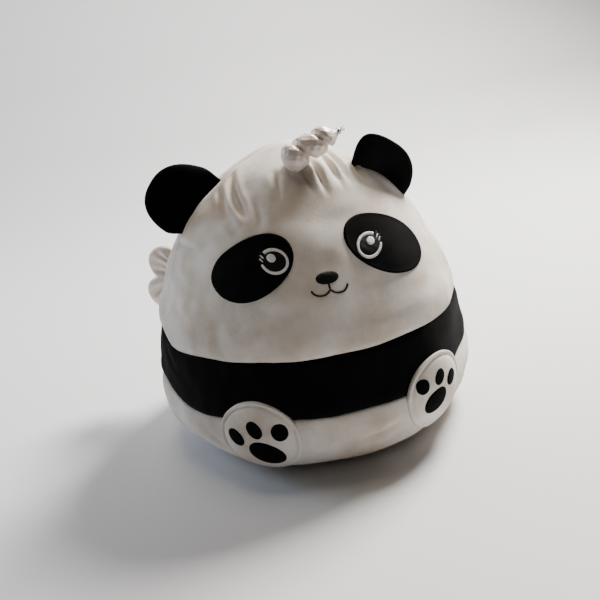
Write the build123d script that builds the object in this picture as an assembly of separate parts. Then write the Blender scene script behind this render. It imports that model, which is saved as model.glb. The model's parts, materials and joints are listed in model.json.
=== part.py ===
from build123d import *
import os
from math import atan2, cos, degrees, hypot, radians, sin

# A stuffed plush panda, egg-shaped, sitting on a flat base.
# Millimetres, +Z up. The face looks along -Y, so the toy's own left is +X.
# The origin is the middle of the flat base, on the surface that it sits on.

# ---------------------------------------------------------------- driving dimensions
body_width = 400.0          # across, at the widest height
body_height = 363.0         # crown above the floor, ears and horn left out
widest_height = 81.0        # height of the widest point
base_width = 226.0          # flat round base panel
lower_roundness = 2.56      # exponent of the profile below the widest point
upper_roundness = 1.865     # exponent of the profile above it
fabric = 2.0                # short pile plush with its backing

band_bottom = 89.0          # black belly band, lower and upper seam
band_top = 155.0

patch_thickness = 1.2       # sewn-on cloth and satin stitch, one layer each
stitch_thickness = 0.8
face_height = body_height - 110.0   # the level that the face is laid out from
# eye patches as seen from the front, each sewn on a little differently; slants in degrees
patch_length = {"right": 100.0, "left": 105.0}
patch_width = 55.0
patch_centre = {"right": (-77.4, face_height - 0.2), "left": (76.5, face_height - 2.1)}
patch_slant = {"right": 26.7, "left": -30.9}
eye_centre = {"right": (-52.8, face_height + 5.9), "left": (55.6, face_height + 2.2)}
ring_width = 30.4
ring_height = 26.4
ring_line = 3.0
highlight_size = (9.0, 8.0)
highlight_offset = (2.5, 3.5)
lash_count = 3
lash_length = 7.0
lash_line = 1.8
lash_first = 4.0            # where the lashes cross the ring, degrees above level
lash_step = 18.0
lash_slant = 50.0
nose_size = (26.0, 12.4)
nose_centre = (-1.4, face_height - 17.6)
mouth_line = 2.3
mouth_height = face_height - 29.2       # where the two curls meet under the nose
mouth_reach = 21.5
mouth_drop = 6.0
mouth_end_rise = 1.6
mouth_low_share = 0.55      # how far out along a curl it is lowest

foot_bearing = 33.0         # round the body from the front, degrees
foot_height = {"right": 64.0, "left": 72.0}
foot_width = 100.0
foot_tall = 92.0
foot_thickness = 7.0
foot_fabric = 1.5
topstitch_inset = 4.0
topstitch_line = 1.2
# paw pads on a foot: outward and up from its centre, length, width, lean from upright
toe_pads = [(28.0, 1.5, 23.0, 16.0, 48.0), (3.0, 12.8, 22.0, 16.5, 36.0), (-26.0, 10.0, 20.0, 18.5, 20.0)]
main_pad = (-7.0, -16.0, 42.0, 27.0, 70.0)
pad_shift = {"right": (-3.0, 2.5), "left": (-7.0, 9.0)}
pad_scale = {"right": 1.0, "left": 0.88}

ear_height_on_head = body_height - 65.0
ear_plane = {"right": 0.0, "left": -20.0}   # distance behind the origin
ear_turn = {"right": 12.0, "left": 5.4}     # the lower end of the sewn edge comes forward by this
ear_slide = {"right": -8.0, "left": -8.2}   # the sewn edge's middle, down from the seat
ear_base = 90.0
ear_tall = {"right": 69.0, "left": 62.0}
ear_sink = {"right": 5.5, "left": 7.3}      # the outline's centre lies this far under the skin
ear_thickness = 16.0
ear_root = 4.6              # thickness where the ear is sewn on
ear_lean = {"right": 0.0, "left": 8.0}
ear_fold = {"right": -8.0, "left": 30.0}
ear_fabric = 1.5

horn_bearing = -2.0         # where the horn is sewn on, round from the front
horn_seat = 66.0            # and out from the middle of the crown
horn_turn = 6.0             # which way it has flopped, degrees from +X towards +Y
horn_rise = 17.8            # and its angle above level
horn_base_radius = 12.5
horn_lobes = [(26.0, 15.5), (47.0, 13.0)]
horn_grooves = [(11.5, 9.5), (36.5, 10.0)]
horn_length = 62.0
horn_tip_radius = 3.5
horn_fabric = 1.2
thread = 0.9                # silver thread, radius
thread_bite = 0.3           # share of its radius that it stands proud of the groove
tip_thread_length = 9.0
tip_thread_radius = 1.6

wing_bearing = 133.0        # round the body from the front, degrees
wing_height = 180.0
wing_root = 44.0            # height of the sewn edge
wing_root_reach = 26.0      # how far the root is straight before the lobes open out
wing_lobes = [(40.0, 6.0, 28.0), (29.0, -36.0, 25.0)]   # out, up, radius
wing_sink = 14.0
wing_thickness = 15.0
wing_root_thickness = 5.0
wing_edge_thickness = 6.0
wing_fabric = 1.2

root_gap = 3.6              # ears and wings stand this far off the skin, and the horn by its own gap
horn_gap = 1.6
root_inset_share = 0.6      # how much of a blade's fabric shows in the thickness of its root and edge
tip_inset_share = 0.5       # the same at the horn's tip

stitch_count = 9            # hand-closed opening low on the back
stitch_length = 5.0
stitch_pitch = 7.0
closing_height = 34.0

# ---------------------------------------------------------------- the body's form
half_width = body_width / 2
half_base = base_width / 2
angles_below = (90, 68, 45, 22, 0)
angles_above = (15, 30, 45, 60, 72, 84)


def rounded(reach, rise, power, angle):
    """A point of a superellipse quarter and its normal; angle 0 is the widest point."""
    c = max(cos(radians(angle)), 0.0)
    s = sin(radians(angle))
    across = reach * c ** (2 / power)
    up = rise * s ** (2 / power)
    n_out = (across / reach) ** (power - 1) / reach
    n_up = (up / rise) ** (power - 1) / rise
    length = hypot(n_out, n_up)
    return across, up, n_out / length, n_up / length


def profile():
    """Half-width, height and outward normal of the outline, from the base to the crown."""
    rows = []
    for angle in angles_below:
        across, down, n_out, n_down = rounded(half_width - half_base, widest_height, lower_roundness, angle)
        rows.append((half_base + across, widest_height - down, n_out, -n_down))
    for angle in angles_above:
        across, up, n_out, n_up = rounded(half_width, body_height - widest_height, upper_roundness, angle)
        rows.append((across, widest_height + up, n_out, n_up))
    return rows


def half_width_at(z):
    if z < widest_height:
        share = ((widest_height - z) / widest_height) ** lower_roundness
        return half_base + (half_width - half_base) * (1 - share) ** (1 / lower_roundness)
    share = ((z - widest_height) / (body_height - widest_height)) ** upper_roundness
    return half_width * (1 - share) ** (1 / upper_roundness)


def skin_point(z, bearing):
    """A point of the skin; bearing 0 is the front and turns towards +X."""
    r = half_width_at(z)
    return Vector(r * sin(radians(bearing)), -r * cos(radians(bearing)), z)


def skin_normal(z, bearing):
    fall = (half_width_at(z - 1) - half_width_at(z + 1)) / 2
    return Vector(sin(radians(bearing)), -cos(radians(bearing)), fall).normalized()


def revolve_outline(edges):
    """Turn edges drawn in X and Z about the Z axis."""
    return revolve(make_face(edges), Axis.Z)


def body_form(outset):
    """The stuffed body, moved out from the skin by outset, or in where it is negative."""
    points = [(r + outset * n_out, 0, z + outset * n_up) for r, z, n_out, n_up in profile()]
    bottom = (0, 0, points[0][2])
    top = (0, 0, body_height + outset)
    edges = [Line(bottom, points[0]), TangentArc(points[0], points[2], tangent=(1, 0, 0))]
    for i in range(2, len(points) - 1, 2):
        edges.append(ThreePointArc(points[i], points[i + 1], points[i + 2]))
    edges.append(Line(points[-1], top))
    edges.append(Line(top, bottom))
    return revolve_outline(edges)


skin = body_form(0)
filling = body_form(-fabric)
over_patch = body_form(patch_thickness)
over_stitch = body_form(patch_thickness + stitch_thickness)
over_highlight = body_form(patch_thickness + 2 * stitch_thickness)
over_thread = body_form(stitch_thickness)
over_foot_padding = body_form(foot_thickness - foot_fabric)
over_foot = body_form(foot_thickness)
over_pads = body_form(foot_thickness + patch_thickness)
clear_of_skin = body_form(root_gap)
far = 2 * body_width


def save(name, shape):
    export_step(shape, f"parts/{name}.step")


def front_prism(sketch):
    """A sketch drawn in X and Z, pushed through the front half of the toy."""
    return extrude(Plane.XZ * sketch, far / 2)


def back_prism(sketch):
    return extrude(Plane.XZ * sketch, -far / 2)


def slab(z_low, z_high):
    return Pos(0, 0, (z_low + z_high) / 2) * Box(far, far, z_high - z_low)


os.makedirs("parts", exist_ok=True)

# ---------------------------------------------------------------- stuffing and the eight panels
save("body_stuffing", filling)
shell = skin - filling
front_half = Pos(0, -far / 2, 0) * Box(far, far, 2 * far)
base_disc = extrude(Circle(half_base), fabric)
levels = {"lower": (-far, band_bottom), "band": (band_bottom, band_top), "head": (band_top, far)}
base_panel = shell & base_disc
save("base_panel", base_panel)
for level, (z_low, z_high) in levels.items():
    ring = shell & slab(z_low, z_high)
    if level == "lower":
        ring = ring - base_disc
    save(f"{level}_front_panel", ring & front_half)
    save(f"{level}_back_panel", ring - front_half)

# ---------------------------------------------------------------- face
patch_layer = over_patch - skin
stitch_layer = over_stitch - over_patch
highlight_layer = over_highlight - over_stitch
skin_stitch_layer = over_thread - skin


def ellipse_at(x, z, width, height, turn=0.0):
    return Pos(x, z) * Rot(0, 0, turn) * Ellipse(width / 2, height / 2)


for side, s in (("right", -1), ("left", 1)):
    ex, ez = eye_centre[side]
    patch = ellipse_at(*patch_centre[side], patch_length[side], patch_width, patch_slant[side])
    disc = ellipse_at(ex, ez, ring_width, ring_height)
    iris = ellipse_at(ex, ez, ring_width - 2 * ring_line, ring_height - 2 * ring_line)
    highlight = ellipse_at(ex + s * highlight_offset[0], ez + highlight_offset[1], *highlight_size)
    lashes = Sketch()
    for i in range(lash_count):
        angle = radians(lash_first + i * lash_step)
        lx = ex + s * (ring_width / 2) * cos(angle)
        lz = ez + (ring_height / 2) * sin(angle)
        lashes += Pos(lx, lz) * Rot(0, 0, s * lash_slant) * SlotOverall(lash_length, lash_line)
    save(f"eye_patch_{side}", front_prism(patch) & patch_layer)
    save(f"eyelashes_{side}", front_prism(lashes) & stitch_layer)
    save(f"eye_ring_{side}", front_prism(disc - iris - lashes) & stitch_layer)
    save(f"pupil_{side}", front_prism(iris - lashes) & stitch_layer)
    save(f"eye_highlight_{side}", front_prism(highlight) & highlight_layer)

nose = ellipse_at(*nose_centre, *nose_size)
nose_x = nose_centre[0]
junction = (nose_x, mouth_height)
curls = Line((nose_x, nose_centre[1] - nose_size[1] / 2), junction)
for s in (-1, 1):
    end = (nose_x + s * mouth_reach, mouth_height + mouth_end_rise)
    low = (nose_x + s * mouth_reach * mouth_low_share, mouth_height - mouth_drop)
    curls += ThreePointArc(junction, low, end)
mouth = trace(curls, mouth_line) - nose
save("nose", front_prism(nose) & skin_stitch_layer)
save("mouth", front_prism(mouth) & skin_stitch_layer)

# ---------------------------------------------------------------- feet
foot_padding_layer = over_foot_padding - skin
foot_layer = over_foot - skin
foot_stitch_layer = body_form(foot_thickness + stitch_thickness) - over_foot
pad_layer = over_pads - over_foot


def foot_prism(side, sketch):
    """A sketch drawn on a foot's face, x outward from the middle of the body, pushed through it."""
    s = -1 if side == "right" else 1
    z = foot_height[side]
    centre = skin_point(z, s * foot_bearing)
    outward = skin_normal(z, s * foot_bearing)
    flat_normal = Vector(outward.X, outward.Y, 0).normalized()
    around = Vector(0, 0, 1).cross(flat_normal)
    face = Plane(centre - flat_normal * foot_tall, x_dir=around, z_dir=flat_normal)
    return extrude(face * sketch, foot_tall + foot_width / 2)


def pad_on_foot(side, s, out, up, length, width, lean):
    scale = pad_scale[side]
    x = s * (out * scale + pad_shift[side][0])
    return ellipse_at(x, up * scale + pad_shift[side][1], width * scale, length * scale, -s * lean)


for side, s in (("right", -1), ("left", 1)):
    rim = Ellipse(foot_width / 2, foot_tall / 2)
    inner_rim = Ellipse(foot_width / 2 - foot_fabric, foot_tall / 2 - foot_fabric)
    line_out = Ellipse(foot_width / 2 - topstitch_inset, foot_tall / 2 - topstitch_inset)
    line_width = topstitch_inset + topstitch_line
    line_in = Ellipse(foot_width / 2 - line_width, foot_tall / 2 - line_width)
    toes = Sketch()
    for toe in toe_pads:
        toes += pad_on_foot(side, s, *toe)
    sole = pad_on_foot(side, s, *main_pad)
    padding = foot_prism(side, inner_rim) & foot_padding_layer
    save(f"foot_padding_{side}", padding)
    save(f"foot_cover_{side}", (foot_prism(side, rim) & foot_layer) - padding)
    save(f"foot_topstitch_{side}", foot_prism(side, line_out - line_in) & foot_stitch_layer)
    save(f"toe_pads_{side}", foot_prism(side, toes) & pad_layer)
    save(f"main_pad_{side}", foot_prism(side, sole) & pad_layer)

# ---------------------------------------------------------------- ears and wings, both padded blades


def blade_section(root, full, edge, reach, deep):
    """Half-thickness along a blade: level under the skin, full in the middle, thinner at the edge."""
    outline = [
        Line((-deep, 0), (-deep, root)),
        Line((-deep, root), (0, root)),
        ThreePointArc((0, root), (0.5 * reach, full), (reach, edge)),
        Line((reach, edge), (reach, 0)),
        Line((reach, 0), (-deep, 0)),
    ]
    half = make_face(outline)
    return half + mirror(half, Plane.XZ)


def blade(frame, outline, section, width):
    """What an outline and a thickness section have in common, placed on the blade's frame."""
    across = Plane((0, 0, 0), x_dir=(0, 1, 0), z_dir=(1, 0, 0))
    flat = extrude(outline, width, both=True)
    thick = extrude(across * section, width, both=True)
    return frame * (flat & thick)


def blade_parts(frame, form, fabric_thickness):
    """Padding, near cover and far cover of a blade, all cut back from the skin."""
    padding = form(fabric_thickness) - body_form(root_gap + fabric_thickness)
    cover = form(0) - clear_of_skin - padding
    near = frame * Pos(0, 0, far / 2) * Box(far, far, far)
    return padding, cover & near, cover - near


def ear_frame(side, s):
    """Plane of an ear: x along its sewn edge, down and out; y out of the head; z across it."""
    z = ear_height_on_head
    bearing = degrees(atan2(half_width_at(z), -ear_plane[side])) * s
    seat = skin_point(z, bearing)
    outward = skin_normal(z, bearing)
    down = outward.cross(Vector(0, -s, 0)).normalized()
    turn = radians(ear_turn[side])
    edge = down * cos(turn) + Vector(0, -1, 0) * sin(turn)
    forward = edge.cross(outward) * s
    fold = radians(ear_fold[side])
    rise = outward * cos(fold) + forward * sin(fold)
    return Plane(seat + edge * ear_slide[side], x_dir=edge, z_dir=edge.cross(rise))


def ear_form(frame, side, inset):
    """The ear moved in from its outline and its faces by inset."""
    tall = ear_tall[side]
    sink = ear_sink[side]
    outline = Rot(0, 0, ear_lean[side]) * Ellipse(ear_base / 2 - inset, tall - inset)
    root = ear_root / 2 - root_inset_share * inset
    section = blade_section(root, ear_thickness / 2 - inset, root, tall - sink - inset, tall)
    return blade(frame, Pos(0, -sink) * outline, section, ear_base)


def wing_frame(s):
    """Plane of a wing: x up along its sewn root, y out of the body, z across it."""
    seat = skin_point(wing_height, s * wing_bearing)
    outward = skin_normal(wing_height, s * wing_bearing)
    tangent = Vector(cos(radians(wing_bearing)) * s, sin(radians(wing_bearing)), 0)
    root_line = outward.cross(tangent).normalized()
    if root_line.Z < 0:
        root_line = root_line * -1
    return Plane(seat, x_dir=root_line, z_dir=root_line.cross(outward))


def wing_form(frame, inset):
    """The scalloped wing moved in from its outline and its faces by inset."""
    root_depth = wing_root_reach + wing_sink
    outline = Pos(0, root_depth / 2 - wing_sink) * Rectangle(wing_root - 2 * inset, root_depth)
    for out, up, radius in wing_lobes:
        outline += Pos(up, out) * Circle(radius - inset)
    reach = max(out + radius for out, up, radius in wing_lobes)
    section = blade_section(
        wing_root_thickness / 2 - root_inset_share * inset,
        wing_thickness / 2 - inset,
        wing_edge_thickness / 2 - root_inset_share * inset,
        reach - inset,
        wing_sink,
    )
    return blade(frame, outline, section, 2 * wing_root)


def save_blade(kind, side, frame, form, fabric_thickness):
    """Write a blade's padding and its two covers, and print where its sewn edge turns."""
    padding, near, beyond = blade_parts(frame, form, fabric_thickness)
    front, back = (near, beyond) if (near.center() - beyond.center()).Y < 0 else (beyond, near)
    save(f"{kind}_padding_{side}", padding)
    save(f"{kind}_front_{side}", front)
    save(f"{kind}_back_{side}", back)
    hinge = frame * Pos(0, root_gap, 0)
    print(kind, side, "hinge", hinge.position, "axis", frame.x_dir)


for side, s in (("right", -1), ("left", 1)):
    ear_plane_of_side = ear_frame(side, s)
    save_blade("ear", side, ear_plane_of_side, lambda inset: ear_form(ear_plane_of_side, side, inset), ear_fabric)
    wing_plane = wing_frame(s)
    save_blade("wing", side, wing_plane, lambda inset: wing_form(wing_plane, inset), wing_fabric)

# ---------------------------------------------------------------- horn


def height_at(r):
    """Height of the crown at a distance from the middle."""
    share = (r / half_width) ** upper_roundness
    return widest_height + (body_height - widest_height) * (1 - share) ** (1 / upper_roundness)


horn_foot = skin_point(height_at(horn_seat), horn_bearing)
horn_centre = horn_foot + skin_normal(horn_foot.Z, horn_bearing) * (horn_base_radius + horn_gap)
turn = radians(horn_turn)
rise = radians(horn_rise)
horn_axis = Vector(cos(turn) * cos(rise), sin(turn) * cos(rise), sin(rise))
horn_plane = Plane(horn_centre, x_dir=Vector(-sin(turn), cos(turn), 0), z_dir=horn_axis)


def horn_form(inset):
    """Three swollen turns of a twisted cone, drawn in X and Z with the cone along Z."""
    (groove_1, waist_1), (groove_2, waist_2) = horn_grooves
    (top_1, lobe_1), (top_2, lobe_2) = horn_lobes
    base = horn_base_radius
    start = (0, 0, inset - base)
    points = [
        start,
        (base - inset, 0, 0),
        (waist_1 - inset, 0, groove_1),
        (lobe_1 - inset, 0, top_1),
        (waist_2 - inset, 0, groove_2),
        (lobe_2 - inset, 0, top_2),
        (horn_tip_radius - tip_inset_share * inset, 0, horn_length - inset),
    ]
    edges = [ThreePointArc(points[i], points[i + 1], points[i + 2]) for i in (0, 2, 4)]
    end = (0, 0, horn_length - inset)
    edges.append(Line(points[-1], end))
    edges.append(Line(end, start))
    return revolve_outline(edges)


horn_outer = horn_form(0)
horn_inner = horn_form(horn_fabric)
winding = [Pos(0, 0, along) * Torus(waist + thread_bite * thread, thread) for along, waist in horn_grooves]
horn_thread = winding[0] + winding[1]
tip_thread = Pos(0, 0, horn_length + tip_thread_length / 2) * Cylinder(tip_thread_radius, tip_thread_length)
save("horn_stuffing", horn_plane * horn_inner)
save("horn_cover", horn_plane * (horn_outer - horn_inner - horn_thread))
save("horn_thread", horn_plane * horn_thread)
save("horn_tip_thread", horn_plane * tip_thread)
print("horn hinge", horn_centre, "direction", horn_axis)

# ---------------------------------------------------------------- hand-closed opening
stitches = Sketch()
for i in range(stitch_count):
    stitches += Pos((i - (stitch_count - 1) / 2) * stitch_pitch, closing_height) * Rectangle(thread, stitch_length)
save("closing_stitches", back_prism(stitches) & skin_stitch_layer)
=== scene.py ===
import json
import bmesh
import bpy
import numpy as np
from math import cos, degrees, pi, radians, sin
from mathutils import Matrix, Vector


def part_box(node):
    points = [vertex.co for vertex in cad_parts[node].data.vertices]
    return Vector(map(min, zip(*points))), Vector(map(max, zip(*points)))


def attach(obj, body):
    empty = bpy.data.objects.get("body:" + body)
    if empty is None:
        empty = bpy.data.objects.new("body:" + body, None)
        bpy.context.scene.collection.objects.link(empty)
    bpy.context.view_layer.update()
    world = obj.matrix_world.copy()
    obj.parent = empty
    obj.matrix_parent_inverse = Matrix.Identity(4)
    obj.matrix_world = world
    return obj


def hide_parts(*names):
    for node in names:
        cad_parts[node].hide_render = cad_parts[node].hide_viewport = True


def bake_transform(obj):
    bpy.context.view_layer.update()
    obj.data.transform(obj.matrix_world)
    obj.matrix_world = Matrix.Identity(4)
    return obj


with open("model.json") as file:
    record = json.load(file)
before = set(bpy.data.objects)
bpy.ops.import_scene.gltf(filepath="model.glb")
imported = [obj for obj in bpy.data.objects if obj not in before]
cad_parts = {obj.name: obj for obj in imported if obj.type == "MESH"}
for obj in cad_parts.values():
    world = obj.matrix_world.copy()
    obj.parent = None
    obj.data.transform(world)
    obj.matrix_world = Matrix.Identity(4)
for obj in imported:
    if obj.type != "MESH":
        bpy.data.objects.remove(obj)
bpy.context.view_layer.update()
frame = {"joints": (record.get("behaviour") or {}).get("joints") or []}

# ---------------------------------------------------------------- Camera, floor and light
# A studio table: a pale seamless paper sweep, one large soft lamp high behind the toy's
# left shoulder, a weak warm one overhead, and a cooler one behind its right shoulder. The
# toy leans a little in the view, so the camera is rolled rather than the toy.
camera_place = Vector((-0.18405, -1.07492, 0.56364))
camera_aim = Vector((-0.0033, 0.0341, 0.1424))
camera_roll = radians(9.13)
lens_mm = 53.7

view_line = (camera_aim - camera_place).normalized()
level_side = view_line.cross(Vector((0, 0, 1))).normalized()
camera_side = level_side * cos(camera_roll) + view_line.cross(level_side) * sin(camera_roll)
camera_up = camera_side.cross(view_line)
camera = bpy.data.objects.new("camera", bpy.data.cameras.new("camera"))
camera.data.lens = lens_mm
camera.data.clip_end = 30
turn_matrix = Matrix((camera_side, camera_up, -view_line)).transposed()
camera.matrix_world = Matrix.Translation(camera_place) @ turn_matrix.to_4x4()
bpy.context.scene.collection.objects.link(camera)
bpy.context.scene.camera = camera


def linear(hex_colour):
    """An sRGB hex value as linear RGBA."""
    parts = [int(hex_colour[i:i + 2], 16) / 255 for i in (1, 3, 5)]
    return tuple(c / 12.92 if c <= 0.04045 else ((c + 0.055) / 1.055) ** 2.4 for c in parts) + (1.0,)


def add(tree, kind, inputs=None, settings=None, links=None):
    """One shader node, with its input values, its settings and what feeds it."""
    node = tree.nodes.new(kind)
    for name, value in (settings or {}).items():
        setattr(node, name, value)
    for name, value in (inputs or {}).items():
        node.inputs[name].default_value = value
    for name, source in (links or {}).items():
        tree.links.new(source, node.inputs[name])
    return node


def new_material(name):
    """An empty material and its node tree."""
    material = bpy.data.materials.new(name)
    material.use_nodes = True
    material.node_tree.nodes.clear()
    return material, material.node_tree


def lamp(name, place, aim, size, watts, colour):
    """A round soft lamp of the given width in metres, turned to its aim."""
    light = bpy.data.lights.new(name, "AREA")
    light.shape = "DISK"
    light.size = size
    light.energy = watts
    light.color = linear(colour)[:3]
    holder = bpy.data.objects.new(name, light)
    holder.location = place
    holder.rotation_euler = (Vector(aim) - Vector(place)).to_track_quat("-Z", "Y").to_euler()
    bpy.context.scene.collection.objects.link(holder)


lit_place = (0.0, 0.0, 0.25)
lamp("key_lamp", (1.1, 0.75, 1.5), lit_place, 0.75, 132, "#FFFAF3")
lamp("top_lamp", (-0.1, 0.35, 2.1), lit_place, 1.0, 14, "#FFF1E0")
lamp("cool_lamp", (-1.5, 0.9, 0.8), (0.0, 0.0, 0.2), 0.8, 16, "#DCEBFF")

world = bpy.data.worlds.new("studio")
world.use_nodes = True
world.node_tree.nodes.clear()
room = add(world.node_tree, "ShaderNodeBackground", {"Color": linear("#EBDCC8"), "Strength": 0.035})
add(world.node_tree, "ShaderNodeOutputWorld", links={"Surface": room.outputs[0]})
bpy.context.scene.world = world

sweep_half_width = 3.0
sweep_profile = [(-2.4, 0.0), (1.0, 0.0), (1.35, 0.03), (1.62, 0.12), (1.82, 0.32), (1.92, 0.6), (1.96, 3.0)]
sweep_mesh = bpy.data.meshes.new("paper_sweep")
sweep_points = [(x, y, z) for y, z in sweep_profile for x in (-sweep_half_width, sweep_half_width)]
sweep_faces = [(2 * i, 2 * i + 1, 2 * i + 3, 2 * i + 2) for i in range(len(sweep_profile) - 1)]
sweep_mesh.from_pydata(sweep_points, [], sweep_faces)
paper_sweep = bpy.data.objects.new("paper_sweep", sweep_mesh)
for face in sweep_mesh.polygons:
    face.use_smooth = True
bpy.context.scene.collection.objects.link(paper_sweep)
# Matt coated paper: even, no grain at this distance.
matt_paper, tree = new_material("matt_coated_paper")
paper_shader = add(tree, "ShaderNodeBsdfPrincipled", {"Base Color": linear("#DDDEE1"), "Roughness": 0.7})
add(tree, "ShaderNodeOutputMaterial", links={"Surface": paper_shader.outputs[0]})
sweep_mesh.materials.append(matt_paper)

# ---------------------------------------------------------------- The stuffed body's form
# The toy is a bag of short-pile plush, blown tight with polyester filling: an egg on a
# flat round base, pulled in along its seams, with soft folds where ears, horn and band tug.
# All shape work below is in millimetres, in the toy's own frame.
mm = 0.001
half_width = 200.0
half_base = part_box("base_panel")[1].x / mm
body_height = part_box("head_front_panel")[1].z / mm
widest_height = 81.0
lower_roundness = 2.56      # the outline's fullness below and above its widest height;
upper_roundness = 1.865     # 2 is an ellipse

quarter = np.linspace(0, pi / 2, 900)


def quarter_oval(reach, rise, power):
    """A superellipse quarter from its widest point up, with its normal."""
    across = reach * np.cos(quarter).clip(0) ** (2 / power)
    up = rise * np.sin(quarter) ** (2 / power)
    n_out = (across / reach) ** (power - 1) / reach
    n_up = (up / rise) ** (power - 1) / rise
    size = np.hypot(n_out, n_up)
    return across, up, n_out / size, n_up / size


below = quarter_oval(half_width - half_base, widest_height, lower_roundness)
above = quarter_oval(half_width, body_height - widest_height, upper_roundness)
line_r = np.concatenate([(half_base + below[0])[::-1], above[0][1:]])
line_z = np.concatenate([(widest_height - below[1])[::-1], widest_height + above[1][1:]])
line_out = np.concatenate([below[2][::-1], above[2][1:]])
line_up = np.concatenate([-below[3][::-1], above[3][1:]])
line_length = np.concatenate([[0], np.cumsum(np.hypot(np.diff(line_r), np.diff(line_z)))])


def bulge(bearing, middle, spread, size):
    """A local rise or dip round the body, as where a seam was stretched in sewing."""
    return size * np.exp(-((bearing - middle) / spread) ** 2)


def band_top(bearing):
    """Height of the upper seam of the black band round the body."""
    b = np.radians(bearing)
    slip = bulge(bearing, -94, 9, 13.0) + bulge(bearing, -68, 12, -2.5)
    slip = slip + bulge(bearing, 90, 8, 9.0) + bulge(bearing, 56, 16, -3.0) + bulge(bearing, -12, 18, 1.2)
    return 156.5 - 3.2 * np.cos(b) + slip + 0.5 * np.sin(13 * b + 2.0)


def band_bottom(bearing):
    """Height of the lower seam of the black band round the body."""
    b = np.radians(bearing)
    slip = bulge(bearing, -88, 11, 13.0) + bulge(bearing, -57, 14, -7.5)
    slip = slip + bulge(bearing, 82, 10, -4.0) + bulge(bearing, 18, 25, -1.2)
    return 92.3 - 7.5 * np.cos(b) + slip + 0.4 * np.sin(11 * b)


# Creases, each along (bearing, height) points round the body, then its width and depth.
creases = [
    ([(-79, 342), (-52, 322), (-36, 298)], 6, 6.5),
    ([(-78, 326), (-62, 318), (-50, 300)], 5, 4.0),
    ([(-66, 309), (-49, 300), (-38, 284)], 7, 2.6),
    ([(-100, 256), (-84, 264), (-70, 265), (-60, 262)], 6, 4.2),
    ([(-38, 322), (-30, 304), (-27, 284)], 10, 3.0),
    ([(-84, 202), (-70, 210), (-58, 209)], 7, 1.8),
    ([(-80, 200), (-68, 197), (-59, 188)], 7, 1.8),
    ([(-88, 238), (-72, 232), (-60, 220)], 9, 1.6),
    ([(58, 352), (41, 336), (33, 315)], 5, 6.5),
    ([(38, 350), (30, 334), (24, 310)], 5, 3.6),
    ([(20, 350), (16, 333), (13, 310)], 5, 5.0),
    ([(0, 350), (4, 334), (5, 316)], 5, 3.0),
    ([(66, 338), (55, 327), (47, 312)], 5, 4.6),
    ([(-22, 344), (-19, 330), (-17, 312)], 6, 3.2),
    ([(0, 262), (1, 250), (-3, 240)], 13, 1.6),
    ([(-34, 216), (-22, 206), (-8, 208)], 14, 1.6),
    ([(-30, 178), (-12, 186), (6, 182)], 20, 1.3),
    ([(-2, 47), (8, 50), (18, 58)], 7, 3.0),
    ([(4, 24), (12, 32), (22, 38)], 6, 2.0),
    ([(-60, 70), (-52, 52), (-46, 38)], 9, 1.8),
    ([(62, 74), (66, 54), (64, 36)], 10, 1.8),
    ([(-82, 152), (-74, 136), (-66, 122)], 7, 1.6),
    ([(78, 150), (72, 132), (70, 114)], 7, 1.4),
    ([(112, 330), (128, 316), (136, 298)], 9, 3.2),
    ([(-118, 332), (-132, 318), (-150, 306)], 9, 3.0),
    ([(168, 345), (176, 326), (172, 300)], 10, 2.6),
    ([(98, 258), (112, 252), (130, 244)], 10, 2.2),
    ([(160, 210), (180, 204), (200, 212)], 16, 2.0),
    ([(-150, 60), (-160, 44), (-166, 30)], 9, 2.2),
    ([(136, 66), (150, 48), (158, 34)], 9, 2.2),
]

band_seam_depth = 3.0
side_seam_depth = 2.4
seam_width = 4.0
settled_height = 22.0       # below this the weight presses the folds out

# Slow swells of the filling, each kind by wavelength, height and count.
shape_random = np.random.default_rng(11)
swell_kinds = ((150.0, 0.75, 7), (62.0, 0.32, 9), (27.0, 0.10, 10))
swells = []
for wavelength, height, count in swell_kinds:
    for _ in range(count):
        direction = shape_random.normal(size=3)
        direction *= 2 * pi / wavelength / np.linalg.norm(direction)
        swells.append((direction, shape_random.uniform(0, 2 * pi), height))


def plain_skin(height, bearing, proud):
    """Points on the smooth form, moved out along its normal."""
    r = np.interp(height, line_z, line_r) + proud * np.interp(height, line_z, line_out)
    z = height + proud * np.interp(height, line_z, line_up)
    b = np.radians(bearing)
    return np.stack([r * np.sin(b), -r * np.cos(b), z], -1)


def crease_depth(points, path, width, depth):
    """How far a crease lets points in; its lips stand a little proud and its ends fade."""
    stops = [plain_skin(z, b, 0.0) for b, z in path]
    nearest = np.full(points.shape[:-1], 1e9)
    along = np.zeros(points.shape[:-1])
    for i in range(len(stops) - 1):
        run = stops[i + 1] - stops[i]
        t = np.clip(((points - stops[i]) @ run) / (run @ run), 0, 1)
        gap = np.linalg.norm(points - stops[i] - t[..., None] * run, axis=-1)
        closer = gap < nearest
        nearest = np.where(closer, gap, nearest)
        along = np.where(closer, (i + t) / (len(stops) - 1), along)
    fade = np.sin(pi * along) ** 1.3
    valley = np.exp(-(nearest / (0.65 * width)) ** 2)
    lips = np.exp(-((nearest - 1.5 * width) / (0.85 * width)) ** 2)
    return depth * fade * (0.38 * lips - valley)


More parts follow.
